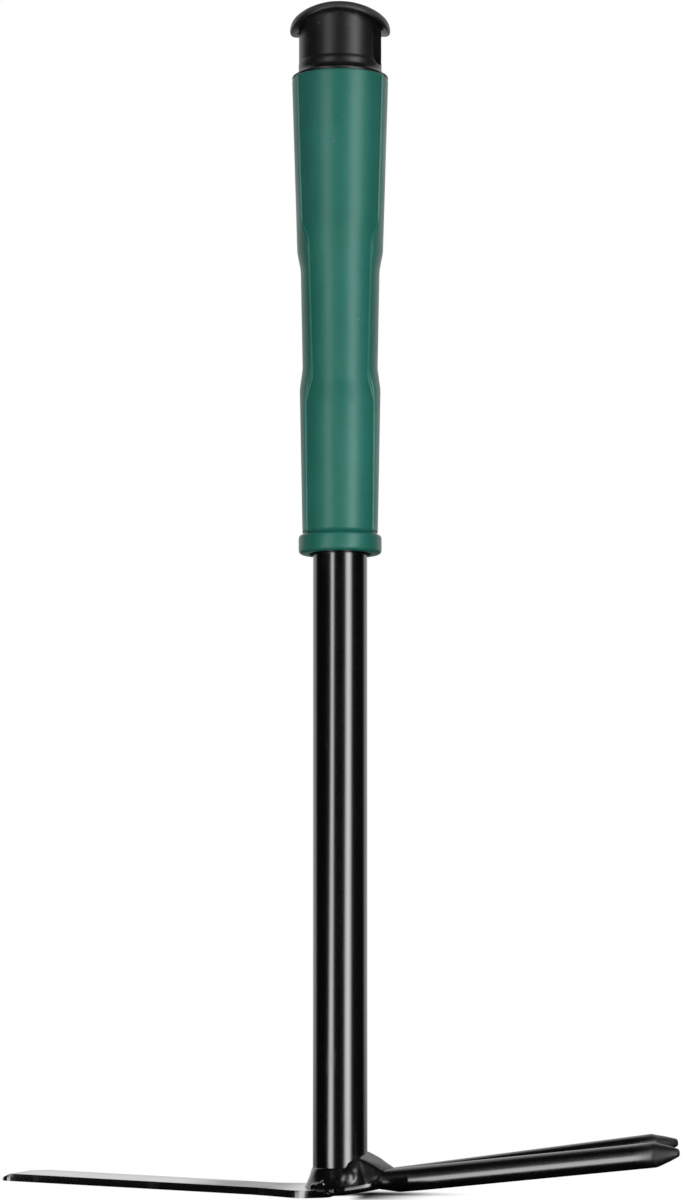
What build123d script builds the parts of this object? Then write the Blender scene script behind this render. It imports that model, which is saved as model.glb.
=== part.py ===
from build123d import *
import math
import os

# Two-ended hand hoe: a tube with a moulded grip on a welded head, blade to one side, fork to the other.
# Frame: Z up along the tube, fork towards +X, blade towards -X, front towards -Y.
# The origin is on the tube's axis, at the underside of the plate that the tube stands on.
# All sizes are in millimetres and all angles in degrees.

# Tube
tube_diameter = 18.0
tube_wall = 1.2
tube_length = 363.4

# Hoe plate: blade, flat seat under the tube, and a short tang on the fork's side
plate_thickness = 2.4
blade_width = 75.0
blade_reach = 106.0
blade_inner_x = -1.0
blade_inner_corner_radius = 13.0
blade_outer_corner_radius = 3.0
blade_rise_angle = 2.9
seat_end_blade_side = -9.5
seat_end_fork_side = 4.0
tang_width = 26.0
tang_reach = 13.6
tang_corner_radius = 4.0
tang_rise_angle = 10.0
cutting_bevel_length = 3.0
cutting_edge_thickness = 0.9

# Fork: two round pointed rods that meet at the tang's end
tine_diameter = 8.0
tine_spread_angle = 20.5
tine_rise_angle = 6.4
tine_meeting_x = 18.0
tine_meeting_z = 4.6
tine_reach = 110.4
tine_point_length = 8.0
tine_point_diameter = 2.6

# Welds: a ring round the tube's foot and a larger bead over the roots of the tines
ring_weld_width = 2.8
ring_weld_height = 6.0
ring_weld_hollow = 0.4
weld_joint_x = 2.0
fork_weld_centre_x = 7.5
fork_weld_centre_z = 3.5
fork_weld_radius = 10.0
fork_weld_height = 9.4

# Grip, sizes at its sides; heights are measured from its lower end
grip_length = 157.2
grip_overhang = 2.6
grip_bore_clearance = 0.15
grip_mouth_radius = 10.4
grip_mouth_depth = 2.0
collar_radius = 13.75
collar_height = 6.3
collar_edge_radius = 1.2
groove_radius = 12.1
groove_height = 0.8
lower_grip_bottom_radius = 12.4
lower_grip_top_radius = 13.2
lower_grip_top_height = 54.8
waist_bottom_radius = 12.25
waist_bottom_height = 61.8
waist_top_radius = 12.9
waist_top_height = 94.6
upper_grip_bottom_radius = 14.05
upper_grip_bottom_height = 100.6
grip_top_radius = 15.7

# Raised panels on the grip's front and back: their rise and their outline seen from the front
panel_rise = 0.5
panel_upper_rise = 0.3
panel_top_half_width = 13.9
panel_upper_half_width = 12.8
panel_upper_height = 111.8
panel_waist_top_half_width = 10.3
panel_waist_top_height = 105.3
panel_waist_bottom_half_width = 9.4
panel_waist_bottom_height = 57.3
panel_lower_top_half_width = 11.6
panel_lower_top_height = 49.8
panel_lower_bottom_half_width = 11.2
panel_upper_step_height = 107.8
panel_waist_start_height = 91.8
panel_waist_end_height = 62.8
panel_lower_step_height = 48.8
grip_turn = 5.0

# Hanging cap
flange_thickness = 1.3
flare_height = 3.9
neck_radius = 13.6
neck_height = 15.8
head_radius = 16.5
head_thickness = 2.8
head_droop = 3.3
head_edge_radius = 2.0
slot_width = 7.6
slot_height = 14.6
slot_end_radius = 3.0
slot_turn = -13.0
slot_face_turn = 90.0 + slot_turn
spigot_length = 14.0
spigot_clearance = 0.1
spigot_chamfer = 0.8

# Tube: sizes that follow
tube_radius = tube_diameter / 2
tube_bore_radius = tube_radius - tube_wall

# Hoe plate: sizes that follow
blade_slope = math.tan(math.radians(blade_rise_angle))
tang_slope = math.tan(math.radians(tang_rise_angle))
blade_end_z = (blade_reach + seat_end_blade_side) * blade_slope
bevel_start_z = blade_end_z - cutting_bevel_length * blade_slope + plate_thickness
tang_end_z = (tang_reach - seat_end_fork_side) * tang_slope
tang_length = tang_reach - blade_inner_x

# Fork: sizes that follow
tine_radius = tine_diameter / 2
tine_run = math.cos(math.radians(tine_rise_angle))
tine_length = (tine_reach - tine_meeting_x) / (tine_run * math.cos(math.radians(tine_spread_angle)))
tine_shank_length = tine_length - tine_point_length
tine_root_length = tine_meeting_x

# Welds: sizes that follow
ring_weld_top_z = plate_thickness + ring_weld_height
fork_weld_top_z = fork_weld_centre_z + fork_weld_height

# Grip: sizes that follow
grip_top_z = plate_thickness + tube_length + grip_overhang
grip_bottom_z = grip_top_z - grip_length
grip_bore_radius = tube_radius + grip_bore_clearance
collar_top_z = grip_bottom_z + collar_height
lower_grip_bottom_z = collar_top_z + groove_height
lower_grip_top_z = grip_bottom_z + lower_grip_top_height
waist_bottom_z = grip_bottom_z + waist_bottom_height
waist_top_z = grip_bottom_z + waist_top_height
upper_grip_bottom_z = grip_bottom_z + upper_grip_bottom_height
lower_grip_gain = lower_grip_top_radius - lower_grip_bottom_radius
lower_grip_slope = lower_grip_gain / (lower_grip_top_z - lower_grip_bottom_z)
waist_slope = (waist_top_radius - waist_bottom_radius) / (waist_top_z - waist_bottom_z)
upper_grip_slope = (grip_top_radius - upper_grip_bottom_radius) / (grip_top_z - upper_grip_bottom_z)

# Grip panels: sizes that follow
panel_upper_z = grip_bottom_z + panel_upper_height
panel_waist_top_z = grip_bottom_z + panel_waist_top_height
panel_waist_bottom_z = grip_bottom_z + panel_waist_bottom_height
panel_lower_top_z = grip_bottom_z + panel_lower_top_height
panel_upper_step_z = grip_bottom_z + panel_upper_step_height
panel_waist_start_z = grip_bottom_z + panel_waist_start_height
panel_waist_end_z = grip_bottom_z + panel_waist_end_height
panel_lower_step_z = grip_bottom_z + panel_lower_step_height
panel_lower_radius = lower_grip_bottom_radius + panel_rise
panel_waist_radius = waist_bottom_radius + panel_rise
panel_lower_step_radius = panel_lower_radius + lower_grip_slope * (panel_lower_step_z - lower_grip_bottom_z)
panel_waist_end_radius = panel_waist_radius + waist_slope * (panel_waist_end_z - waist_bottom_z)
panel_waist_start_radius = panel_waist_radius + waist_slope * (panel_waist_start_z - waist_bottom_z)
panel_top_radius = grip_top_radius + panel_upper_rise
panel_upper_step_radius = panel_top_radius - upper_grip_slope * (grip_top_z - panel_upper_step_z)

# Cap: sizes that follow
flare_bottom_z = grip_top_z + flange_thickness
neck_bottom_z = flare_bottom_z + flare_height
neck_top_z = neck_bottom_z + neck_height
spigot_radius = tube_bore_radius - spigot_clearance
spigot_bottom_z = grip_top_z - spigot_length
head_side_z = neck_top_z - head_droop


def upright_plane(turn):
    """The plane through the tube's axis, seen from the front and turned about the axis."""
    angle = math.radians(turn)
    return Plane(
        origin=(0, 0, 0),
        x_dir=(math.cos(angle), math.sin(angle), 0),
        z_dir=(math.sin(angle), -math.cos(angle), 0),
    )


os.makedirs("parts", exist_ok=True)


# Hoe plate: its side profile across the full width, cut to its outline from above
with BuildPart() as hoe_blade:
    with BuildSketch(Plane.XZ):
        with BuildLine():
            Polyline(
                (-blade_reach, blade_end_z),
                (seat_end_blade_side, 0),
                (seat_end_fork_side, 0),
                (tang_reach, tang_end_z),
                (tang_reach, tang_end_z + plate_thickness),
                (seat_end_fork_side, plate_thickness),
                (seat_end_blade_side, plate_thickness),
                (-blade_reach + cutting_bevel_length, bevel_start_z),
                (-blade_reach, blade_end_z + cutting_edge_thickness),
                close=True,
            )
        make_face()
    extrude(amount=blade_width / 2, both=True)
    with BuildSketch():
        with Locations((blade_inner_x, 0)):
            Rectangle(blade_reach + blade_inner_x, blade_width, align=(Align.MAX, Align.CENTER))
        fillet(vertices().group_by(Axis.X)[0], radius=blade_outer_corner_radius)
        fillet(vertices().group_by(Axis.X)[-1], radius=blade_inner_corner_radius)
        with Locations((tang_reach, 0)):
            Rectangle(tang_length, tang_width, align=(Align.MAX, Align.CENTER))
        fillet(vertices().group_by(Axis.X)[-1], radius=tang_corner_radius)
    extrude(amount=blade_reach, both=True, mode=Mode.INTERSECT)
hoe_blade.part.label = "hoe_blade"
export_step(hoe_blade.part, "parts/hoe_blade.step")


# Tube, its foot cut to the plate's bend
with BuildPart() as shaft_tube:
    with BuildSketch(Plane.XY.offset(plate_thickness)):
        Circle(tube_radius)
        Circle(tube_bore_radius, mode=Mode.SUBTRACT)
    extrude(amount=tube_length)
    add(hoe_blade.part, mode=Mode.SUBTRACT)
shaft_tube.part.label = "shaft_tube"
export_step(shaft_tube.part, "parts/shaft_tube.step")


# Tines: pointed rods, cut where they meet each other and where the tang ends
tines = {}
for name, side in (("front_tine", -1), ("rear_tine", 1)):
    direction = Vector(
        tine_run * math.cos(math.radians(tine_spread_angle)),
        side * tine_run * math.sin(math.radians(tine_spread_angle)),
        math.sin(math.radians(tine_rise_angle)),
    )
    meeting_point = Vector(tine_meeting_x, side * tine_radius, tine_meeting_z)
    with BuildPart(Plane(origin=meeting_point - direction * tine_root_length, z_dir=direction)) as tine:
        Cylinder(
            tine_radius,
            tine_root_length + tine_shank_length,
            align=(Align.CENTER, Align.CENTER, Align.MIN),
        )
        with Locations((0, 0, tine_root_length + tine_shank_length)):
            Cone(
                tine_radius,
                tine_point_diameter / 2,
                tine_point_length,
                align=(Align.CENTER, Align.CENTER, Align.MIN),
            )
        split(bisect_by=Plane.YZ.offset(tang_reach), keep=Keep.TOP)
        split(bisect_by=Plane.XZ, keep=Keep.TOP if side < 0 else Keep.BOTTOM)
    tine.part.label = name
    export_step(tine.part, f"parts/{name}.step")
    tines[name] = tine.part


# Ring of weld round the tube's foot, later shared out between the two welds
with BuildPart() as weld_ring:
    with BuildSketch(Plane.XZ):
        with BuildLine():
            Polyline(
                (tube_radius, ring_weld_top_z),
                (tube_radius, 0),
                (tube_radius + ring_weld_width, 0),
                (tube_radius + ring_weld_width, plate_thickness),
            )
            SagittaArc(
                (tube_radius + ring_weld_width, plate_thickness),
                (tube_radius, ring_weld_top_z),
                ring_weld_hollow,
            )
        make_face()
    revolve(axis=Axis.Z)
    split(bisect_by=Plane.XY.offset(plate_thickness), keep=Keep.TOP)


# Blade weld: the ring on the blade's side
with BuildPart() as blade_weld:
    add(weld_ring.part)
    split(bisect_by=Plane.YZ.offset(weld_joint_x), keep=Keep.BOTTOM)
    add(hoe_blade.part, mode=Mode.SUBTRACT)
blade_weld.part.label = "blade_weld"
export_step(blade_weld.part, "parts/blade_weld.step")


# Fork weld: the rest of the ring, with a rounded bead on the tang and over the roots of the tines
tang_top_plane = Plane(origin=(seat_end_fork_side, 0, plate_thickness), z_dir=(-tang_slope, 0, 1))
with BuildPart() as fork_weld:
    with BuildSketch(Plane.XZ):
        with BuildLine():
            bead_side = EllipticalCenterArc(
                (fork_weld_centre_x, fork_weld_centre_z),
                fork_weld_radius,
                fork_weld_height,
                start_angle=90,
                arc_size=90,
            )
            Polyline(
                bead_side @ 1,
                (fork_weld_centre_x - fork_weld_radius, plate_thickness),
                (fork_weld_centre_x, plate_thickness),
                bead_side @ 0,
            )
        make_face()
    revolve(axis=Axis((fork_weld_centre_x, 0, 0), (0, 0, 1)))
    add(weld_ring.part)
    with BuildSketch(Plane.XY):
        Circle(tube_radius)
    extrude(amount=fork_weld_top_z, mode=Mode.SUBTRACT)
    split(bisect_by=Plane.YZ.offset(weld_joint_x), keep=Keep.TOP)
    split(bisect_by=tang_top_plane, keep=Keep.TOP)
    add(tines.values(), mode=Mode.SUBTRACT)
fork_weld.part.label = "fork_weld"
export_step(fork_weld.part, "parts/fork_weld.step")


# Grip panels: a slightly larger grip, kept only inside the panels' outline
with BuildPart() as grip_panels:
    with BuildSketch(Plane.XZ):
        with BuildLine():
            Polyline(
                (0, lower_grip_bottom_z),
                (panel_lower_radius, lower_grip_bottom_z),
                (panel_lower_step_radius, panel_lower_step_z),
                (panel_waist_end_radius, panel_waist_end_z),
                (panel_waist_start_radius, panel_waist_start_z),
                (panel_upper_step_radius, panel_upper_step_z),
                (panel_top_radius, grip_top_z),
                (0, grip_top_z),
                close=True,
            )
        make_face()
    revolve(axis=Axis.Z)
    with BuildSketch(upright_plane(grip_turn)):
        with BuildLine():
            panel_side = Polyline(
                (0, lower_grip_bottom_z),
                (panel_lower_bottom_half_width, lower_grip_bottom_z),
                (panel_lower_top_half_width, panel_lower_top_z),
                (panel_waist_bottom_half_width, panel_waist_bottom_z),
                (panel_waist_top_half_width, panel_waist_top_z),
                (panel_upper_half_width, panel_upper_z),
                (panel_top_half_width, grip_top_z),
                (0, grip_top_z),
            )
            mirror(panel_side, about=Plane.YZ)
        make_face()
    extrude(amount=panel_top_radius, both=True, mode=Mode.INTERSECT)


# Grip: collar, side profile with its waist, panels and bore
with BuildPart() as grip:
    with BuildSketch(Plane.XZ):
        with BuildLine():
            Polyline(
                (0, grip_bottom_z),
                (collar_radius, grip_bottom_z),
                (collar_radius, collar_top_z),
                (groove_radius, collar_top_z),
                (groove_radius, lower_grip_bottom_z),
                (lower_grip_bottom_radius, lower_grip_bottom_z),
                (lower_grip_top_radius, lower_grip_top_z),
                (waist_bottom_radius, waist_bottom_z),
                (waist_top_radius, waist_top_z),
                (upper_grip_bottom_radius, upper_grip_bottom_z),
                (grip_top_radius, grip_top_z),
                (0, grip_top_z),
                close=True,
            )
        make_face()
    revolve(axis=Axis.Z)
    collar_edges = edges().filter_by(GeomType.CIRCLE).filter_by(lambda edge: edge.radius == collar_radius)
    fillet(collar_edges, radius=collar_edge_radius)
    add(grip_panels.part)
    with BuildSketch(Plane.XY.offset(grip_bottom_z)):
        Circle(grip_bore_radius)
    extrude(amount=grip_top_z - grip_bottom_z, mode=Mode.SUBTRACT)
    with BuildSketch(Plane.XY.offset(grip_bottom_z)):
        Circle(grip_mouth_radius)
    extrude(amount=grip_mouth_depth, mode=Mode.SUBTRACT)
grip.part.label = "grip"
export_step(grip.part, "parts/grip.step")


# Cap head: a round disc between two arches that droop over the slot's mouths
with BuildPart() as cap_head:
    with BuildSketch(upright_plane(slot_turn)):
        with BuildLine():
            underside = ThreePointArc(
                (-head_radius, head_side_z),
                (0, neck_top_z),
                (head_radius, head_side_z),
            )
            Polyline(
                underside @ 1,
                (head_radius, head_side_z + head_thickness),
            )
            ThreePointArc(
                (head_radius, head_side_z + head_thickness),
                (0, neck_top_z + head_thickness),
                (-head_radius, head_side_z + head_thickness),
            )
            Line((-head_radius, head_side_z + head_thickness), underside @ 0)
        make_face()
    extrude(amount=head_radius, both=True)
    with BuildSketch(Plane.XY.offset(neck_bottom_z)):
        Circle(head_radius)
    extrude(amount=neck_height + head_thickness, mode=Mode.INTERSECT)
    fillet(edges().group_by(Axis.Z)[-1], radius=head_edge_radius)


# Cap: spigot, flange, flare and neck turned in one, then slotted, with the head on top
with BuildPart() as hang_cap:
    with BuildSketch(Plane.XZ):
        with BuildLine():
            Polyline(
                (0, spigot_bottom_z),
                (spigot_radius - spigot_chamfer, spigot_bottom_z),
                (spigot_radius, spigot_bottom_z + spigot_chamfer),
                (spigot_radius, grip_top_z),
                (grip_top_radius, grip_top_z),
                (grip_top_radius, flare_bottom_z),
                (neck_radius, neck_bottom_z),
                (neck_radius, neck_top_z),
                (0, neck_top_z),
                close=True,
            )
        make_face()
    revolve(axis=Axis.Z)
    with BuildSketch(upright_plane(slot_face_turn)):
        with Locations((0, neck_bottom_z + slot_height / 2)):
            RectangleRounded(slot_width, slot_height, slot_end_radius)
    extrude(amount=grip_top_radius, both=True, mode=Mode.SUBTRACT)
    add(cap_head.part)
hang_cap.part.label = "hang_cap"
export_step(hang_cap.part, "parts/hang_cap.step")
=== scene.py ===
# %% [markdown]
# # A two-ended hand hoe
#
# This lesson dresses a short garden tool: a black steel tube with a green moulded grip, a black cap
# with a hanging slot, and a welded head with a flat hoe blade on one side and two tines on the other.
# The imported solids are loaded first. They give every size and place, and each of them is then replaced
# by a piece with the roundings, lumps and paint that a real tool has.

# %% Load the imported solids
import math

import bpy
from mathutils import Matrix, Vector, noise


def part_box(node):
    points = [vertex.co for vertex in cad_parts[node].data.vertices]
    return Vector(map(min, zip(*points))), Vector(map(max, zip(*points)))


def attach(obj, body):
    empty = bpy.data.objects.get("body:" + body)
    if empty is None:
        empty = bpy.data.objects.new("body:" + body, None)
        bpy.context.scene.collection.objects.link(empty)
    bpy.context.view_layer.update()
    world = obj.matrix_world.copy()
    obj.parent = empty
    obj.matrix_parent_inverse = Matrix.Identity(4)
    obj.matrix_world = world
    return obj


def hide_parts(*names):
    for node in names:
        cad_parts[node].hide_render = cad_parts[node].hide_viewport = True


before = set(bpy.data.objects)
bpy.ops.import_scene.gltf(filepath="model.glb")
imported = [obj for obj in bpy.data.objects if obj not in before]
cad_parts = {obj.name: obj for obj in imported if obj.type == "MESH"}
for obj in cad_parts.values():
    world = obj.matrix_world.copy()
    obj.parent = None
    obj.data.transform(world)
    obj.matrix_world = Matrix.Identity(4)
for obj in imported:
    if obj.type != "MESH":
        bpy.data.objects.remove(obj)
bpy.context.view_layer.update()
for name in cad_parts:
    low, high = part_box(name)
    print(name, "stands from", [round(v * 1000, 1) for v in low], "to", [round(v * 1000, 1) for v in high])

# %% [markdown]
# ## The camera
#
# The photograph was taken with a long lens from just above the blade, a little to the fork's side.
# The blade shows as a thin sliver, so the lens is about level with it, and the frame is lifted with
# a slight tilt and a vertical shift rather than by climbing, which keeps the tube upright.

# %% Place the camera
camera_distance = 1.1956
camera_height = 0.0677
camera_yaw = math.radians(5.2)
camera_tilt = math.radians(2.195)

camera = bpy.data.objects.new("camera", bpy.data.cameras.new("camera"))
bpy.context.scene.collection.objects.link(camera)
camera.location = (
    camera_distance * math.sin(camera_yaw),
    -camera_distance * math.cos(camera_yaw),
    camera_height,
)
camera.rotation_euler = (math.radians(90) + camera_tilt, 0, camera_yaw)
camera.data.lens = 108.72
camera.data.sensor_width = 36
camera.data.shift_x = 0.0003
camera.data.shift_y = 0.2075
bpy.context.scene.camera = camera
bpy.context.scene.view_settings.view_transform = "Standard"
print("camera at", [round(v, 3) for v in camera.location])

# %% [markdown]
# ## Shader maths in plain Python
#
# A finish is a small graph of nodes. Adding each Math node by hand hides what a finish means, so a
# socket is wrapped in a class whose operators add the nodes: `1 - mask * 0.3` is then a real graph.
# Every other node comes from one method that takes its type, its settings and its sockets.

# %% Wrap a socket so that sums can be written with it
class Wire:
    """An output socket, or a number, that takes part in sums."""

    def __init__(self, finish, socket):
        self.finish = finish
        self.socket = socket

    def sum(self, operation, *terms):
        return self.finish.node("ShaderNodeMath", {"operation": operation}, dict(enumerate(terms)))

    def __add__(self, other):
        return self.sum("ADD", self, other)

    def __sub__(self, other):
        return self.sum("SUBTRACT", self, other)

    def __mul__(self, other):
        return self.sum("MULTIPLY", self, other)

    def __truediv__(self, other):
        return self.sum("DIVIDE", self, other)

    def __pow__(self, other):
        return self.sum("POWER", self, other)

    def __rsub__(self, other):
        return self.sum("SUBTRACT", other, self)

    def __gt__(self, other):
        return self.sum("GREATER_THAN", self, other)

    __radd__ = __add__
    __rmul__ = __mul__


print("sums on sockets are ready")

# %% Build a finish out of nodes
class Finish:
    """One material and its graph."""

    def __init__(self, name):
        self.material = bpy.data.materials.new(name)
        self.material.use_nodes = True
        self.tree = self.material.node_tree
        self.tree.nodes.clear()

    def node(self, kind, settings=None, sockets=None, output=0):
        """Add a node: its settings first, then the values or wires of its sockets."""
        made = self.tree.nodes.new(kind)
        for key, value in (settings or {}).items():
            setattr(made, key, value)
        for key, value in (sockets or {}).items():
            if isinstance(value, Wire):
                self.tree.links.new(value.socket, made.inputs[key])
            else:
                made.inputs[key].default_value = value
        return Wire(self, made.outputs[output]) if made.outputs else made

    def place(self):
        """Where a point of the piece is, in metres."""
        return self.node("ShaderNodeTexCoord", output="Object")

    def axis(self, name):
        return self.node("ShaderNodeSeparateXYZ", sockets={0: self.place()}, output=name)

    def noise(self, scale, detail=2.0, stretch=(1, 1, 1)):
        """Soft noise from 0 to 1, with so many grains to a metre."""
        spot = self.node("ShaderNodeMapping", sockets={"Vector": self.place(), "Scale": stretch})
        sockets = {"Vector": spot, "Scale": scale, "Detail": detail}
        return self.node("ShaderNodeTexNoise", sockets=sockets)

    def step(self, value, low, high):
        """0 below low and 1 above high, with a soft rise between them."""
        sockets = {"Value": value, "From Min": low, "From Max": high}
        return self.node("ShaderNodeMapRange", {"interpolation_type": "SMOOTHSTEP"}, sockets)

    def blend(self, amount, first, second):
        """Mix two colours."""
        sockets = {0: amount, 6: first, 7: second}
        return self.node("ShaderNodeMix", {"data_type": "RGBA"}, sockets, output=2)

    def bump(self, height, depth, strength=1.0):
        """A normal from heights of 0 to 1 that stand for so many metres."""
        return self.node("ShaderNodeBump", sockets={"Height": height, "Distance": depth, "Strength": strength})

    def surface(self, **sockets):
        """Close the graph with the main shader."""
        named = {key.replace("_", " ").title(): value for key, value in sockets.items()}
        named = {key.replace("Ior", "IOR"): value for key, value in named.items()}
        shader = self.node("ShaderNodeBsdfPrincipled", sockets=named)
        return self.close(shader)

    def close(self, shader):
        self.node("ShaderNodeOutputMaterial", sockets={"Surface": shader})
        return self.material


print("finishes are ready")

# %% [markdown]
# ## Working by hand, in code
#
# Each piece starts as a primitive and is shaped in edit mode, as at the desk. A few short helpers
# open a piece, select by place and close the work: the finished object sits at the origin, unturned.

# %% Open, select and finish a piece
MM = 0.001


def deselect():
    for thing in list(bpy.context.selected_objects):
        thing.select_set(False)


def active(name):
    """Name the primitive that was just added and fix its place in its mesh."""
    piece = bpy.context.active_object
    piece.name = name
    bpy.ops.object.transform_apply(location=True, rotation=True, scale=True)
    return piece


def open_edit(piece, select="DESELECT"):
    deselect()
    piece.select_set(True)
    bpy.context.view_layer.objects.active = piece
    bpy.ops.object.mode_set(mode="EDIT")
    bpy.ops.mesh.select_mode(type="VERT")
    bpy.ops.mesh.select_all(action=select)


def close_edit():
    bpy.ops.object.mode_set(mode="OBJECT")


def pick(piece, rule):
    """Select the points that a rule accepts, and the edges and faces between them."""
    bpy.ops.object.mode_set(mode="OBJECT")
    for point in piece.data.vertices:
        point.select = bool(rule(point.co / MM))
    bpy.ops.object.mode_set(mode="EDIT")


def modify(piece, kind, **settings):
    """Add a modifier and apply it."""
    deselect()
    piece.select_set(True)
    bpy.context.view_layer.objects.active = piece
    modifier = piece.modifiers.new(kind.title(), kind)
    for key, value in settings.items():
        setattr(modifier, key, value)
    bpy.ops.object.modifier_apply(modifier=modifier.name)


def finish_piece(piece, node, material, sharp=35):
    """Point the faces outwards, shade them, and let the piece stand for its solid."""
    open_edit(piece, "SELECT")
    bpy.ops.mesh.remove_doubles(threshold=1e-6)
    bpy.ops.mesh.normals_make_consistent(inside=False)
    close_edit()
    bpy.ops.object.shade_smooth_by_angle(angle=math.radians(sharp))
    piece.data.materials.clear()
    piece.data.materials.append(material)
    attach(piece, "root")
    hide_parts(node)
    print(piece.name, "has", len(piece.data.polygons), "faces")


print("helpers are ready")

# %% [markdown]
# ## Turned shapes
#
# The tube, the tines, the grip and the cap are all turned or moulded round an axis. A ring of points
# is extruded up and resized from one radius to the next, like clay on a wheel. A closed profile comes
# back to its first ring, which leaves a wall; an open one is capped at both ends.

# %% Turn a profile
def turned(name, profile, sides, wall=False):
    """Turn (radius, height) pairs in millimetres about the upright axis."""
    radius, height = profile[0]
    deselect()
    bpy.ops.mesh.primitive_circle_add(vertices=sides, radius=radius * MM, location=(0, 0, height * MM))
    piece = active(name)
    open_edit(piece, "SELECT")
    if not wall:
        bpy.ops.mesh.edge_face_add()
        bpy.ops.mesh.select_all(action="SELECT")
    rings = profile[1:] + profile[:1] if wall else profile[1:]
    for next_radius, next_height in rings:
        rise = (0, 0, (next_height - height) * MM)
        grow = next_radius / radius
        bpy.ops.mesh.extrude_region_move(TRANSFORM_OT_translate={"value": rise})
        bpy.ops.transform.resize(value=(grow, grow, 1), center_override=(0, 0, next_height * MM))
        radius, height = next_radius, next_height
    if wall:
        bpy.ops.mesh.select_all(action="SELECT")
        bpy.ops.mesh.remove_doubles(threshold=1e-6)
    close_edit()
    return piece


def rounded(corner, into, out, radius, steps=4):
    """Points of a small arc that rounds a corner of a profile between two unit directions."""
    points = []
    for i in range(steps + 1):
        turn = math.radians(90 * i / steps)
        near, far = radius * (1 - math.sin(turn)), radius * (1 - math.cos(turn))
        points.append((corner[0] - into[0] * near + out[0] * far, corner[1] - into[1] * near + out[1] * far))
    return points


print("the wheel is ready")

# %% [markdown]
# ## Black paint on steel
#
# The tube and the head are stoved with glossy black paint. It is nearly colourless, so all that the
# eye gets is reflection: tall soft stripes, slightly broken by orange peel, with dust nibs and a few
# dull scuffs where the tool was handled. The peel is a fine bump, the scuffs change the roughness.

# %% Mix the black paint
def black_paint(name, roughness, peel, dull_from=None, dull_lump=False, dull_ends=False):
    """Glossy black: roughness, the depth of its orange peel, and an x in metres where heat has dulled it."""
    finish = Finish(name)
    peel_noise = finish.noise(700, 3.0)
    long_noise = finish.noise(60, 4.0, stretch=(1, 1, 0.35))
    specks = finish.step(finish.noise(2600, 1.0), 0.74, 0.78)
    scuffs = finish.step(finish.noise(150, 6.0, stretch=(1, 1, 0.3)), 0.6, 0.75)
    colour = finish.blend(scuffs * 0.3, (0.0016, 0.0016, 0.0018, 1), (0.007, 0.007, 0.0075, 1))
    colour = finish.blend(specks * 0.4, colour, (0.03, 0.03, 0.031, 1))
    rough = roughness + long_noise * 0.04 + scuffs * 0.05
    if dull_from:
        along, across = finish.axis("X"), finish.axis("Y")
        dull = finish.step(along, dull_from, dull_from + 0.02) * (1 - finish.step(along, -0.022, -0.01))
        dull = dull * finish.step(across, -0.0368, -0.0362)
        rough = rough + dull * (0.08 + long_noise * 0.25)
    if dull_lump:
        along, up = finish.axis("X"), finish.axis("Z")
        lump = finish.step(along, -0.0005, 0.0015) * (1 - finish.step(along, 0.006, 0.008))
        rough = rough + lump * finish.step(up, 0.002, 0.004) * 0.15
    if dull_ends:
        along = finish.axis("X")
        rough = rough + (1 - finish.step(along, 0.016, 0.032)) * 0.04 + finish.step(along, 0.096, 0.104) * 0.2
    normal = finish.bump(peel_noise + specks * 0.6, peel, 0.5)
    return finish.surface(base_color=colour, roughness=rough, normal=normal, ior=1.75)


tube_paint = black_paint("tube_paint", 0.15, 0.000006)
plate_paint = black_paint("plate_paint", 0.12, 0.000002, dull_from=-0.052)
tine_paint = black_paint("tine_paint", 0.22, 0.000006, dull_ends=True)
weld_paint = black_paint("weld_paint", 0.18, 0.000004, dull_lump=True)
print("paint is mixed:", tube_paint.name, plate_paint.name, tine_paint.name, weld_paint.name)

# %% [markdown]
# ## Moulded plastic
#
# The grip is a satin green plastic. Its mould was lightly etched, so its highlights are broad and
# faintly grainy, and handling has left a few shinier patches. The cap is the same kind of plastic in
# black, with a smoother skin. Both get colour drift, a fine grain and changes of gloss.

# %% Mix the plastics
def moulded_plastic(name, deep, pale, roughness, grain, head_from=None):
    """Satin plastic. Above head_from, a height in metres, it is etched to a paler matte."""
    finish = Finish(name)
    drift = finish.noise(35, 3.0)
    cloud = finish.noise(220, 4.0)
    grains = finish.noise(4200, 2.0)
    rubs = finish.step(finish.noise(90, 5.0, stretch=(1, 1, 0.4)), 0.55, 0.72)
    nicks = finish.step(finish.noise(750, 2.0), 0.735, 0.76)
    streaks = finish.noise(130, 3.0, stretch=(1, 1, 0.12))
    colour = finish.blend(finish.step(drift + (cloud - 0.5) * 0.3 + (streaks - 0.5) * 0.4, 0.25, 0.75), deep, pale)
    colour = finish.blend(nicks * 0.35, colour, (0.12, 0.2, 0.18, 1))
    rough = roughness + (cloud - 0.5) * 0.08 + (streaks - 0.5) * 0.1 - rubs * 0.05
    if head_from:
        x = finish.axis("X")
        head = finish.step(finish.axis("Z") + x * x * 12, head_from, head_from + 0.0006)
        colour = finish.blend(head, colour, (0.028, 0.028, 0.03, 1))
        rough = rough + head * 0.12
    normal = finish.bump(grains + cloud * 0.4 - nicks * 2, grain, 0.6)
    return finish.surface(base_color=colour, roughness=rough, normal=normal, ior=1.5, specular_ior_level=0.35)


green_plastic = moulded_plastic("green_plastic", (0.0075, 0.082, 0.062, 1), (0.011, 0.098, 0.076, 1), 0.4, 0.00001)
black_plastic = moulded_plastic(
    "black_plastic",
    (0.004, 0.004, 0.0044, 1),
    (0.008, 0.008, 0.0085, 1),
    0.37,
    0.000008,
    head_from=0.3896,
)
print("plastics are mixed:", green_plastic.name, black_plastic.name)

# %% [markdown]
# ## The tube
#
# The tube is plain, so it is all about a true round and a clean surface: a closed profile with its
# wall, turned with enough sides that the tall reflections run straight. It passes up inside the grip.

# %% Turn the tube
tube_low, tube_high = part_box("shaft_tube")
tube_radius = tube_high.x / MM
tube_bottom, tube_top = tube_low.z / MM + 0.2, tube_high.z / MM
tube_wall = 1.2

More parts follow.
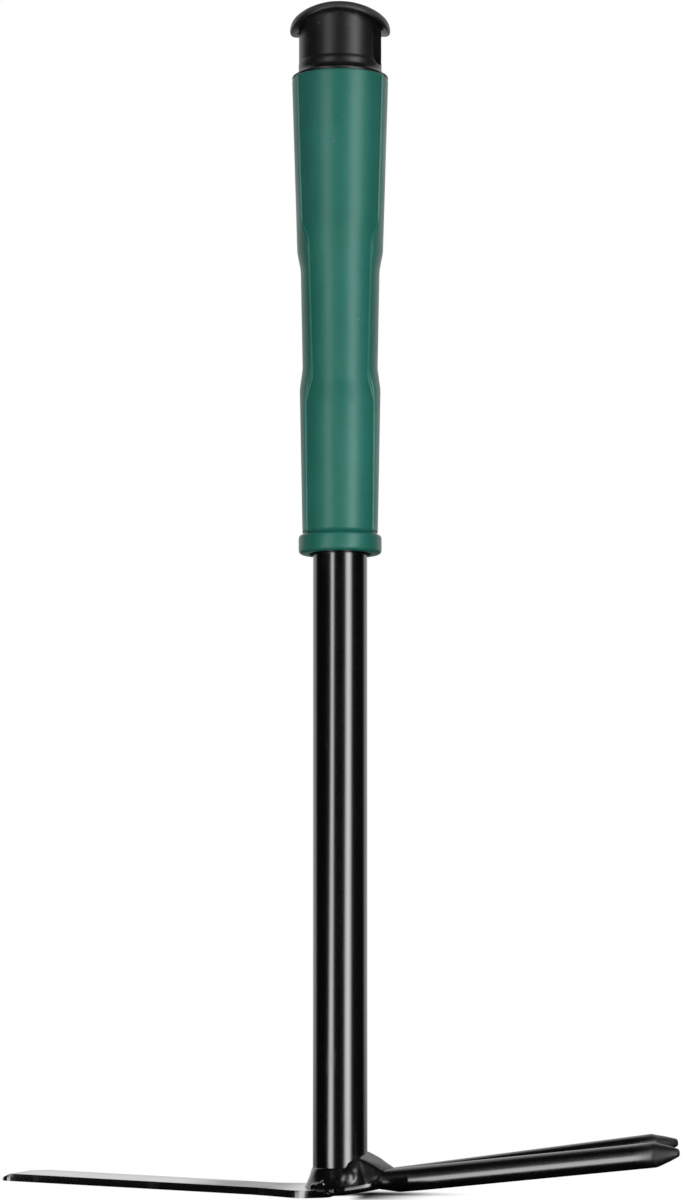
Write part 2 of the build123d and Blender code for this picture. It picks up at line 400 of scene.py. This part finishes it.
tube_heights = [tube_bottom + (tube_top - tube_bottom) * i / 24 for i in range(25)]
tube_profile = [(tube_radius, z) for z in tube_heights]
tube_profile += [(tube_radius - tube_wall, z) for z in reversed(tube_heights)]
tube = turned("steel_tube", tube_profile, 128, wall=True)
finish_piece(tube, "shaft_tube", tube_paint)

# %% [markdown]
# ## The grip
#
# The grip has a waist, two raised panels that run up its front and back, and a collar at its foot. The
# panels have a thin bead along their edges, and a lip that stands up in front of the cap's flange.
# A box model would need many cuts here. It is simpler to turn the profile first, with the panels'
# edges in mind, and then to slide and lift the points: each ring's columns follow the panel's edge,
# which widens and narrows with height.

# %% State the grip's sizes
grip_low, grip_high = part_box("grip")
grip_bottom, grip_top = grip_low.z / MM, grip_high.z / MM + 0.9
collar_radius, collar_top = 13.75, grip_bottom + 6.3
body_bottom = collar_top + 0.8
bore_radius = 9.15
grip_turn = math.radians(5)
lip_height = 0.35

side_radius = [(7.1, 12.5), (54.8, 13.4), (61.8, 12.45), (94.6, 13.1), (100.6, 14.25), (157.2, 15.95)]
panel_radius = [(7.1, 13.0), (48.4, 13.76), (55.8, 12.86), (91.8, 13.54), (107.8, 14.76), (157.2, 16.25)]
panel_width = [
    (7.1, 11.2),
    (49.8, 11.6),
    (57.3, 9.6),
    (103.0, 10.7),
    (109.3, 12.9),
    (157.2, 14.3),
]


def along(table, height, soft=0.9):
    """Read a table of (height above the grip's foot, size), with its corners eased."""
    total = 0
    for shift in (-soft, -soft / 2, 0, soft / 2, soft):
        at = min(max(height - grip_bottom + shift, table[0][0]), table[-1][0])
        for (z0, s0), (z1, s1) in zip(table, table[1:]):
            if at <= z1:
                total += s0 + (s1 - s0) * (at - z0) / (z1 - z0)
                break
    return total / 5


print("grip from", round(grip_bottom, 1), "to", round(grip_top, 1))

# %% List the grip's rings, from the bore's mouth round the outside and back down the bore
body_heights = {body_bottom + 0.25, grip_top - 1.2}
for height, _ in side_radius[1:-1] + panel_width[1:-1]:
    for step in (-1.6, -0.8, 0, 0.8, 1.6):
        body_heights.add(grip_bottom + height + step)
for i in range(60):
    height = body_bottom + 1 + i * (grip_top - body_bottom - 2) / 59
    if all(abs(height - other) > 0.9 for other in body_heights):
        body_heights.add(height)
body_heights = sorted(body_heights)

collar = [(10.4, grip_bottom + 2), (10.4, grip_bottom)]
collar += rounded((collar_radius, grip_bottom), (1, 0), (0, 1), 1.2)
collar += rounded((collar_radius, collar_top), (0, 1), (-1, 0), 1.2)
collar += [(12.1, collar_top), (12.1, body_bottom), (along(side_radius, body_bottom) - 0.15, body_bottom)]
body = [(along(side_radius, z), z) for z in body_heights]
rim = rounded((along(side_radius, grip_top), grip_top), (0, 1), (-1, 0), 0.3)
rim += [(15.08, grip_top), (15.0, grip_top - 0.02)]
bore = [(bore_radius, grip_top - 0.02), (bore_radius, grip_bottom + 2)]
grip_profile = collar + body + rim + bore
print("the grip has", len(grip_profile), "rings")

# %% Turn the grip and shape its panels
inside_columns = 14
edge_columns = (-1.0, -0.58, -0.4, -0.15, 0.05, 0.35, 0.7)
side_columns = 6
quarter = inside_columns + len(edge_columns) + side_columns


def column_angle(index, height):
    """The angle of a column from the panel's middle, for the first quarter turn."""
    edge = math.asin(along(panel_width, height) / along(panel_radius, height))
    per_mm = 1 / along(panel_radius, height)
    first, last = edge + edge_columns[0] * per_mm, edge + edge_columns[-1] * per_mm
    if index < inside_columns:
        return first * index / inside_columns
    if index < inside_columns + len(edge_columns):
        return edge + edge_columns[index - inside_columns] * per_mm
    share = (index - inside_columns - len(edge_columns) + 1) / (side_columns + 1)
    return last + (math.pi / 2 - last) * share


def panel_lift(index, height):
    """How far a column stands out from the side's radius."""
    full = along(panel_radius, height) - along(side_radius, height)
    if index < inside_columns + 1:
        return full
    if index < inside_columns + len(edge_columns):
        return (full + 0.4, full + 0.4, full + 0.05, -0.3, -0.3, 0)[index - inside_columns - 1]
    return 0


def shape_grip(point):
    """Slide and lift one point of the turned grip."""
    spot = point.co / MM
    radius = math.hypot(spot.x, spot.y)
    turn = math.atan2(spot.x, -spot.y) % (2 * math.pi)
    index = round(turn / (2 * math.pi) * 4 * quarter) % (4 * quarter)
    corner, place = divmod(index, quarter)
    height = min(max(spot.z, body_bottom), grip_top)
    if corner % 2:
        place = quarter - place
        angle = (corner + 1) * math.pi / 2 - (column_angle(place, height) if place < quarter else math.pi / 2)
    else:
        angle = corner * math.pi / 2 + column_angle(place, height)
    on_body = spot.z > body_bottom - 0.01 and radius > along(side_radius, height) - 0.5
    lip = 0
    if on_body:
        radius += panel_lift(place, height)
    if spot.z > grip_top - 0.5 and radius > 15.04 and place <= inside_columns + 2:
        lip = lip_height * min((spot.z - grip_top + 0.5) / 0.5, 1)
    turn = angle + grip_turn
    point.co = Vector((radius * math.sin(turn), -radius * math.cos(turn), spot.z + lip)) * MM


grip = turned("moulded_grip", grip_profile, 4 * quarter, wall=True)
for point in grip.data.vertices:
    shape_grip(point)
finish_piece(grip, "grip", green_plastic, sharp=30)

# %% [markdown]
# ## The hanging cap
#
# The cap plugs the tube and flares from the grip's edge into a neck under a wide head. It is turned in
# one profile. The head's rim droops on both sides over the slot's mouths, so the points of the head are
# lowered along the slot's axis, and the slot is then cut through the neck with a rounded bar.

# %% Turn the cap and bend its head
cap_low, cap_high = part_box("hang_cap")
cap_foot, cap_top = cap_low.z / MM, cap_high.z / MM
flange_top = grip_top + 1.1
neck_bottom = flange_top + 2.2
neck_top = neck_bottom + 16.8
neck_radius, head_radius, head_droop, head_thickness = 13.8, 16.7, 3.3, 2.8
slot_turn, droop_turn = math.radians(-16), math.radians(3)

cap_profile = [(6.9, cap_foot), (7.7, cap_foot + 0.8), (7.7, grip_top + 0.02), (15.4, grip_top + 0.02)]
cap_profile += rounded((16, flange_top), (0, 1), (-1, 0), 0.3, 2)
cap_profile += [(15.1, flange_top + 0.3), (14.4, flange_top + 0.8), (14.0, flange_top + 1.5)]
cap_profile += [(neck_radius, neck_bottom + z) for z in (0, 0.2, 1.1, 2.1)]
cap_profile += [(neck_radius - 0.12, neck_bottom + 2.3)]
cap_profile += [(neck_radius - 0.1, neck_bottom + 3 + i * (neck_top - neck_bottom - 3) / 6) for i in range(6)]
cap_profile += [(neck_radius - 0.1, neck_top - 0.35), (neck_radius + 0.25, neck_top)]
cap_profile += rounded((head_radius, neck_top), (1, 0), (0, 1), 0.7, 3)
cap_profile += rounded((head_radius, neck_top + head_thickness - 0.05), (0, 1), (-1, 0), 1.9, 6)
cap_profile += [(11, neck_top + head_thickness), (6, neck_top + head_thickness), (2, neck_top + head_thickness)]
cap = turned("hanging_cap", cap_profile, 120)
for point in cap.data.vertices:
    spot = point.co / MM
    radius = math.hypot(spot.x, spot.y)
    sideways = spot.x * math.cos(droop_turn) + spot.y * math.sin(droop_turn)
    bend = min(max((spot.z - neck_top + 6) / 6, 0), 1)
    under = 1.4 * (1 - min(max((spot.z - neck_top) / head_thickness, 0), 1))
    point.co.z -= (head_droop + under) * (sideways / head_radius) ** 2 * bend * MM
    from_front = math.acos(min(abs(spot.x * math.sin(grip_turn) - spot.y * math.cos(grip_turn)) / max(radius, 0.01), 1))
    if grip_top - 1 < spot.z < flange_top + 0.1 and radius > 14.9 and from_front < math.radians(61):
        point.co *= Vector((14.9 / radius, 14.9 / radius, 1))
print("the cap is", round(cap_top - cap_foot, 1), "mm tall")

# %% Cut the slot and soften its edges
deselect()
bpy.ops.mesh.primitive_cube_add(
    size=1,
    location=(0, 0, (neck_bottom + 8.3) * MM),
    rotation=(0, 0, slot_turn),
    scale=(0.0285, 0.0076, 0.0146),
)
bar = active("slot_bar")
open_edit(bar)
bpy.ops.mesh.select_mode(type="EDGE")
close_edit()
for edge in bar.data.edges:
    a, b = (bar.data.vertices[i].co for i in edge.vertices)
    edge.select = (a - b).length > 0.02
bpy.ops.object.mode_set(mode="EDIT")
bpy.ops.mesh.bevel(offset=0.003, segments=6, affect="EDGES")
close_edit()
modify(cap, "BOOLEAN", operation="DIFFERENCE", solver="EXACT", object=bar)
bpy.data.objects.remove(bar)
print("the slotted cap has", len(cap.data.polygons), "faces before its edges are eased")
modify(cap, "BEVEL", width=0.4 * MM, segments=3, limit_method="ANGLE", angle_limit=math.radians(50))
finish_piece(cap, "hang_cap", black_plastic, sharp=40)

# %% [markdown]
# ## The hoe plate
#
# Blade, seat and tang are one steel plate. It is drawn flat, with its corners rounded, given its
# thickness, and then bent: the blade rises gently from the seat, the tang more steeply. The last few
# millimetres thin down to the cutting edge, and all edges are eased as paint eases them.

# %% Draw and thicken the plate
plate_low, plate_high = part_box("hoe_blade")
blade_reach, blade_width = -plate_low.x / MM, (plate_high.y - plate_low.y) / MM
blade_inner, tang_reach, tang_width, tang_corner = -1.0, 13.6, 26.0, 4.0
plate_thickness = 2.4


def plate_outline(name, x_from, x_to, width, corners):
    """A flat rectangle with rounded corners, given as (x, radius) pairs, thickened upwards."""
    deselect()
    bpy.ops.mesh.primitive_plane_add(size=1, location=((x_from + x_to) / 2 * MM, 0, 0))
    bpy.context.active_object.scale = ((x_to - x_from) * MM, width * MM, 1)
    piece = active(name)
    open_edit(piece)
    for at, radius in corners:
        pick(piece, lambda spot: abs(spot.x - at) < 0.01)
        bpy.ops.mesh.bevel(offset=radius * MM, segments=round(radius) + 1, affect="VERTICES")
    bpy.ops.mesh.select_all(action="SELECT")
    bpy.ops.mesh.extrude_region_move(TRANSFORM_OT_translate={"value": (0, 0, plate_thickness * MM)})
    close_edit()
    return piece


plate = plate_outline("hoe_plate", -blade_reach, blade_inner, blade_width, [(-blade_reach, 3), (blade_inner, 13)])
tang = plate_outline("tang", -30, tang_reach, tang_width, [(tang_reach, tang_corner)])
modify(plate, "BOOLEAN", operation="UNION", solver="EXACT", object=tang)
bpy.data.objects.remove(tang)
print("the flat plate measures", [round(v / MM, 1) for v in plate.dimensions])

# %% Bend the plate and thin its cutting edge
open_edit(plate, "SELECT")
bpy.ops.mesh.remove_doubles(threshold=0.02 * MM)
bpy.ops.mesh.dissolve_limited(angle_limit=math.radians(0.5))
close_edit()
modify(plate, "BEVEL", width=0.5 * MM, segments=3, limit_method="ANGLE", angle_limit=math.radians(60))
open_edit(plate)
cuts = [-103.0] + [-100 + 5 * i for i in range(18)] + [-12, -11, -10, -9, -8, -7, 2, 3, 4, 5, 6, 8, 10, 12]
for x in cuts:
    bpy.ops.mesh.select_all(action="SELECT")
    bpy.ops.mesh.bisect(plane_co=(x * MM, 0, 0), plane_no=(1, 0, 0))
for i in range(-5, 6):
    bpy.ops.mesh.select_all(action="SELECT")
    bpy.ops.mesh.bisect(plane_co=(0, i * 6.5 * MM, 0), plane_no=(0, 1, 0))
close_edit()


def bend_height(x):
    """The underside's height: flat under the tube, rising on both sides through soft bends."""
    rise = 0
    for start, way, slope in ((-9.5, -1, math.tan(math.radians(2.9))), (1.5, 1, math.tan(math.radians(9.5)))):
        run = (x - start) * way
        soft = 2.5
        if run > soft:
            rise += run * slope
        elif run > -soft:
            rise += slope * (run + soft) ** 2 / (4 * soft)
    return rise


def roll(x, y):
    """How far the plate is twisted up at the front and down at the back, away from the tube."""
    away = min(max((-9.5 - x) / 16, 0), 1)
    away *= away * (3 - 2 * away)
    beside = max(abs(y) - 13, 0) / 24.5
    if y < 0:
        return (0.15 - y * 0.021) * away + 0.6 * beside * (1 - away)
    return (0.15 - y * 0.046) * away - 0.9 * beside * (1 - away)


for point in plate.data.vertices:
    spot = point.co / MM
    thinned = min(max((-103 - spot.x) / 3, 0), 1)
    underside = max(bend_height(spot.x) + roll(spot.x, spot.y), 0)
    top = bend_height(spot.x) + roll(spot.x, spot.y) + plate_thickness * (1 - 0.6 * thinned)
    share = min(max(spot.z / plate_thickness, 0), 1)
    point.co.z = (underside + (top - underside) * share) * MM
    if spot.x > 0.5:
        point.co.y *= 1.05 - 0.0185 * spot.x - 0.04 * max(0.6 - share, 0) / 0.6
finish_piece(plate, "hoe_blade", plate_paint)

# %% [markdown]
# ## The tines
#
# Each tine is a round rod with a short turned point. It is turned upright, laid along its own
# direction, and cut where it meets its neighbour and where the tang ends, inside the weld.

# %% Turn and lay the tines
tine_radius = 4.0
tine_spread, tine_rise = math.radians(20.5), math.radians(6.4)
tine_meeting_x, tine_meeting_z, tine_reach = 18.0, 4.6, 110.4
tine_run = math.cos(tine_rise)
tine_length = (tine_reach - tine_meeting_x) / (tine_run * math.cos(tine_spread))


def lay_tine(name, node, side, point_length, reach):
    end = tine_length + reach
    shank = end - point_length
    profile = [(tine_radius, -16 + (shank + 14.6) * i / 12) for i in range(13)]
    profile += [(tine_radius - 0.02, shank - 0.9), (tine_radius - 0.08, shank - 0.45)]
    profile += [(tine_radius - 0.2, shank), (tine_radius - 0.4, shank + 0.55)]
    profile += [(2.6, shank + point_length / 2), (1.42, end - 0.6), (1.22, end - 0.2), (0.8, end)]
    tine = turned(name, profile, 64)
    spread = side * math.sin(tine_spread)
    direction = Vector((tine_run * math.cos(tine_spread), tine_run * spread, math.sin(tine_rise)))
    tine.rotation_euler = direction.to_track_quat("Z", "Y").to_euler()
    tine.location = Vector((tine_meeting_x, side * tine_radius, tine_meeting_z)) * MM
    deselect()
    tine.select_set(True)
    bpy.context.view_layer.objects.active = tine
    bpy.ops.object.transform_apply(location=True, rotation=True, scale=True)
    open_edit(tine, "SELECT")
    bpy.ops.mesh.bisect(plane_co=(12 * MM, 0, 0), plane_no=(1, 0, 0), use_fill=True, clear_inner=True)
    bpy.ops.mesh.select_all(action="SELECT")
    bpy.ops.mesh.bisect(plane_co=(0, 0, 0), plane_no=(0, side, 0), use_fill=True, clear_inner=True)
    close_edit()
    for point in tine.data.vertices:
        spot = point.co / MM
        below = max(tine_meeting_z + (spot.x - tine_meeting_x) * math.tan(tine_rise) - spot.z, 0) / tine_radius
        point.co.z += 1.3 * below * (max(23 - spot.x, 0) / 9) ** 2 * MM
    finish_piece(tine, node, tine_paint, sharp=30)


lay_tine("near_tine", "front_tine", -1, 7.2, 0.6)
lay_tine("far_tine", "rear_tine", 1, 8.2, 0.2)

# %% [markdown]
# ## The welds
#
# The weld's ring is turned like the tube, with small puddles on it where the welder stopped. A puddle is
# a squashed ball. All is joined, fused by a voxel remesh, and smoothed as the paint smooths it. The
# fork's bead is a heap with sloping sides, so it starts as the tight skin round a few points.

# %% Fuse puddles into a weld
def fuse_puddles(name, puddles, smooth, base=None):
    """Join squashed balls of (place, radii) in millimetres with a base, and fuse them."""
    deselect()
    lumps = [base] if base else []
    for place, radii in puddles:
        bpy.ops.mesh.primitive_uv_sphere_add(
            segments=24,
            ring_count=14,
            radius=1,
            location=Vector(place) * MM,
            scale=Vector(radii) * MM,
        )
        lumps.append(active(name))
        deselect()
    for lump in lumps:
        lump.select_set(True)
    bpy.context.view_layer.objects.active = lumps[0]
    bpy.ops.object.join()
    weld = bpy.context.active_object
    weld.name = name
    modify(weld, "REMESH", mode="VOXEL", voxel_size=0.32 * MM)
    modify(weld, "SMOOTH", factor=0.5, iterations=smooth)
    for point in weld.data.vertices:
        point.co += point.normal * noise.noise(point.co / (3.4 * MM)) * 0.1 * MM
    return weld


def level_off(weld, height, slope):
    """Cut a weld flat inside the plate, so that it has no underside to show."""
    open_edit(weld, "SELECT")
    place = (4 * MM, 0, height * MM)
    bpy.ops.mesh.bisect(plane_co=place, plane_no=(-slope, 0, 1), use_fill=True, clear_inner=True)
    close_edit()


print("welding is ready")

# %% Run the ring round the tube's foot
ring_profile = [(8.7, 1.4), (12.0, 1.4), (12.0, 2.2), (11.7, 2.6), (11.3, 3.3), (10.8, 4.3), (10.25, 5.6)]
ring_profile += [(9.8, 6.9), (9.5, 7.8), (9.15, 8.75), (8.7, 9.0)]
ring = turned("ring", ring_profile, 96, wall=True)
for point in ring.data.vertices:
    radius = math.hypot(point.co.x, point.co.y) / MM
    front = max(-point.co.y / MM / radius, 0)
    wider = 1 + 0.32 * front * front * max(radius - 9, 0) / radius
    point.co *= Vector((wider, wider, 1))
ring_puddles = [
    ((-7.6, -8.2, 2.9), (1.6, 1.3, 0.9)),
    ((-5.9, -9.3, 3.1), (1.5, 1.2, 1.1)),
    ((-4.4, -9.9, 3.7), (1.3, 1.2, 1.3)),
    ((-2.8, -10.9, 2.7), (1.3, 1.2, 0.8)),
    ((-9.6, 4.0, 3.0), (1.6, 2.4, 1.4)),
    ((-6.6, 8.4, 3.2), (2.2, 1.8, 1.6)),
    ((1.0, 10.2, 3.4), (2.4, 1.7, 1.9)),
]
blade_weld = fuse_puddles("blade_weld_bead", ring_puddles, 4, ring)
level_off(blade_weld, 1.7, 0)
finish_piece(blade_weld, "blade_weld", weld_paint, sharp=60)

# %% Heap up the fork's weld
def hull(name, places):
    """The tight skin round some points, given in millimetres."""
    deselect()
    bpy.ops.mesh.primitive_circle_add(vertices=len(places), radius=MM)
    piece = active(name)
    for point, place in zip(piece.data.vertices, places):
        point.co = Vector(place) * MM
    open_edit(piece, "SELECT")
    bpy.ops.mesh.convex_hull()
    close_edit()
    return piece


heap_side = [(3.0, 8.8, 10.6), (6.8, 7.6, 12.2), (9.2, 7.2, 10.2), (11.8, 6.6, 8.8), (14.6, 5.8, 7.4)]
heap_side += [(1.5, 11.4, 2.0), (4.0, 12.2, 2.0), (9.6, 11.6, 3.0), (12.6, 9.0, 3.0), (15.0, 6.4, 3.2)]
heap_ridge = [(7.8, 0, 14.7), (10.6, 1.0, 13.4), (13.0, 1.0, 12.2), (15.4, 0.6, 10.3), (18.6, 0, 8.3), (18.6, 0, 3.4)]
heap = hull("heap", heap_ridge + heap_side + [(x, -y, z) for x, y, z in heap_side])
fork_puddles = [
    ((3.0, -9.0, 5.2), (3.8, 3.2, 3.7)),
    ((4.6, -7.6, 7.8), (2.6, 2.6, 2.4)),
    ((1.4, 7.3, 5.0), (4.2, 4.3, 3.7)),
]
fork_weld = fuse_puddles("fork_weld_bead", fork_puddles, 30, heap)
level_off(fork_weld, 1.2, 0.17)
finish_piece(fork_weld, "fork_weld", weld_paint, sharp=60)

# %% [markdown]
# ## The floor
#
# The tool stands on white paper. The camera sees the paper as plain white further out, and its real
# shading close to the foot. A soft contact shadow is painted into the paper's colour in front of the
# foot, under the tang and the tines' roots, over both. Reflections look past the paper, to
# the cards below its level.

# %% Lay the floor
def white_floor():
    finish = Finish("white_floor")
    x, y = finish.axis("X"), finish.axis("Y")
    away = ((x - 0.012) * (x - 0.012) * 0.35 + y * y) ** 0.5
    camera_ray = finish.node("ShaderNodeLightPath", output="Is Camera Ray")
    clear = finish.step(away, 0.002, 0.02) * camera_ray
    # Painted shadow: a soft dark patch in front of the foot, under the tang and the tines' roots.
    across = finish.step(x, 0.004, 0.01) * (1 - finish.step(x, 0.006, 0.032))
    painted_shadow = across * finish.step(y, -0.047, -0.016) * (1 - finish.step(y, 0, 0.03))
    # Inside the painted shadow the paper's colour goes nearly black, for the camera and for the light it bounces.
    shade = finish.blend(painted_shadow, (1, 1, 1, 1), (0.01, 0.01, 0.01, 1))
    paper_with_painted_shadow = finish.blend(painted_shadow, (0.8, 0.8, 0.8, 1), (0.01, 0.01, 0.01, 1))
    paper = finish.node("ShaderNodeBsdfDiffuse", sockets={"Color": paper_with_painted_shadow})
    white = finish.node("ShaderNodeEmission", sockets={"Color": shade, "Strength": 1.0})
    return finish.close(finish.node("ShaderNodeMixShader", sockets={0: clear, 1: paper, 2: white}))


deselect()
bpy.ops.mesh.primitive_plane_add(size=12, location=(0, 0, -0.00005))
floor = active("floor")
floor.data.materials.append(white_floor())
floor.visible_glossy = False
print("the floor is", floor.dimensions.x, "m wide")

# %% [markdown]
# ## Light
#
# Black paint shows nothing but reflections, so the light is built as a product photographer builds it.
# Curved cards stand round the tool: a tall one left of the camera that widens towards the floor, a
# wider one on the right, and a white one behind. Only reflections see them, and so does a small dark
# patch for the tool's own shadow. Plain soft lamps and a dim world then light the colours themselves.

# %% Stand cards round the tool
def glow(name, strength, soft):
    """A glowing card whose sides fade over a share of its width."""
    finish = Finish(name)
    spot = finish.node("ShaderNodeUVMap")
    across = finish.node("ShaderNodeSeparateXYZ", sockets={0: spot}, output="X")
    up = finish.node("ShaderNodeSeparateXYZ", sockets={0: spot}, output="Y")
    sides = finish.step(across, 0, soft) * finish.step(1 - across, 0, soft)
    ends = finish.step(up, 0, 0.1) * finish.step(1 - up, 0, 0.1)
    shader = finish.node("ShaderNodeEmission", sockets={"Color": (1, 1, 1, 1), "Strength": sides * ends * strength})
    return finish.close(shader)


def card(name, radius, edges, strength, soft):
    """A curved card. Each edge row is (height, turn from, turn to), in metres and degrees from the camera."""
    deselect()
    bpy.ops.mesh.primitive_plane_add(size=1)
    piece = active(name)
    open_edit(piece, "SELECT")
    bpy.ops.mesh.subdivide(number_cuts=23)
    close_edit()
    low, high = edges[0][0], edges[-1][0]
    for point in piece.data.vertices:
        height = low + (high - low) * (point.co.y + 0.5)
        for (h0, a0, b0), (h1, a1, b1) in zip(edges, edges[1:]):
            if height <= h1 + 1e-6:
                share = (height - h0) / (h1 - h0)
                break
        turn_from, turn_to = a0 + (a1 - a0) * share, b0 + (b1 - b0) * share
        turn = math.radians(turn_from + (turn_to - turn_from) * (point.co.x + 0.5)) + camera_yaw
        point.co = (radius * math.sin(turn), -radius * math.cos(turn), height)
    piece.data.materials.append(glow(name, strength, soft))
    piece.visible_camera = False
    piece.visible_diffuse = False
    piece.visible_shadow = False
    piece.visible_transmission = False
    print(name, "stands", radius, "m away")


left_edges = [(-0.9, -64, -26), (-0.15, -62, -25), (0.06, -52, -24), (0.26, -43, -23), (1.0, -43, -19)]
right_edges = [(-0.9, 8, 48), (0.06, 12, 52), (0.26, 18, 54), (0.6, 17, 56), (0.7, 24, 66), (1.1, 24, 66)]
rear_edges = [(-0.2, 112, 248), (2.6, 112, 248)]
card("left_card", 1.2, left_edges, 6.5, 0.4)
card("right_card", 1.2, right_edges, 7.5, 0.4)
card("rear_card", 1.6, rear_edges, 1.0, 0.12)

# %% Lay a painted shadow patch under the tines' roots, and stand one before the near tine
# A black sheet seen only in reflections: painted shade for the tool's own shadow round the tines' roots, which
# reflections look past on the paper.
def painted_shadow_patch(name, place, size, lean):
    deselect()
    bpy.ops.mesh.primitive_plane_add(size=1, location=place, rotation=(lean, 0, 0))
    bpy.context.active_object.scale = (*size, 1)
    flag = active(name)
    flag.data.materials.append(glow(name, 0.0, 0.1))
    flag.visible_camera = False
    flag.visible_diffuse = False
    flag.visible_shadow = False


painted_shadow_patch("low_painted_shadow", (0.0105, -0.01, -0.0006), (0.025, 0.02), 0)
painted_shadow_patch("front_painted_shade", (0.0175, -0.0115, 0.0025), (0.009, 0.009), math.radians(90))
print("the patch keeps the cards out of the tines' roots")

# %% Hang the soft lamps
def soft_lamp(name, turn, distance, height, size, power):
    """A square lamp that looks at the tool and lights its colour alone. The angle runs from the camera."""
    lamp = bpy.data.lights.new(name, "AREA")
    lamp.size, lamp.energy = size, power
    box = bpy.data.objects.new(name, lamp)
    bpy.context.scene.collection.objects.link(box)
    angle = math.radians(turn) + camera_yaw
    box.location = (distance * math.sin(angle), -distance * math.cos(angle), height)
    aim = Vector((0, 0, 0.2)) - box.location
    box.rotation_euler = aim.to_track_quat("-Z", "Y").to_euler()
    box.visible_camera = False
    box.visible_glossy = False
    print(name, "at", [round(v, 2) for v in box.location])


soft_lamp("left_lamp", -36, 1.3, 0.5, 0.6, 3.3)
soft_lamp("front_lamp", 8, 0.6, 0.1, 0.25, 2.8)
soft_lamp("right_lamp", 36, 1.3, 0.5, 0.6, 4.7)
soft_lamp("rear_lamp", 180, 1.3, 1.0, 0.8, 5)

# %% Set up the world
world = bpy.data.worlds.new("studio")
bpy.context.scene.world = world
world.use_nodes = True
tree = world.node_tree
tree.nodes.clear()
path = tree.nodes.new("ShaderNodeLightPath")
shade = tree.nodes.new("ShaderNodeMix")
shade.data_type = "RGBA"
shade.inputs[6].default_value = (0.35, 0.35, 0.35, 1)
shade.inputs[7].default_value = (0.006, 0.006, 0.006, 1)
tree.links.new(path.outputs["Is Glossy Ray"], shade.inputs[0])
view = tree.nodes.new("ShaderNodeMix")
view.data_type = "RGBA"
view.inputs[7].default_value = (1, 1, 1, 1)
tree.links.new(path.outputs["Is Camera Ray"], view.inputs[0])
tree.links.new(shade.outputs[2], view.inputs[6])
background = tree.nodes.new("ShaderNodeBackground")
tree.links.new(view.outputs[2], background.inputs["Color"])
output = tree.nodes.new("ShaderNodeOutputWorld")
tree.links.new(background.outputs[0], output.inputs["Surface"])
print("the world is white for the camera and dim for the tool")
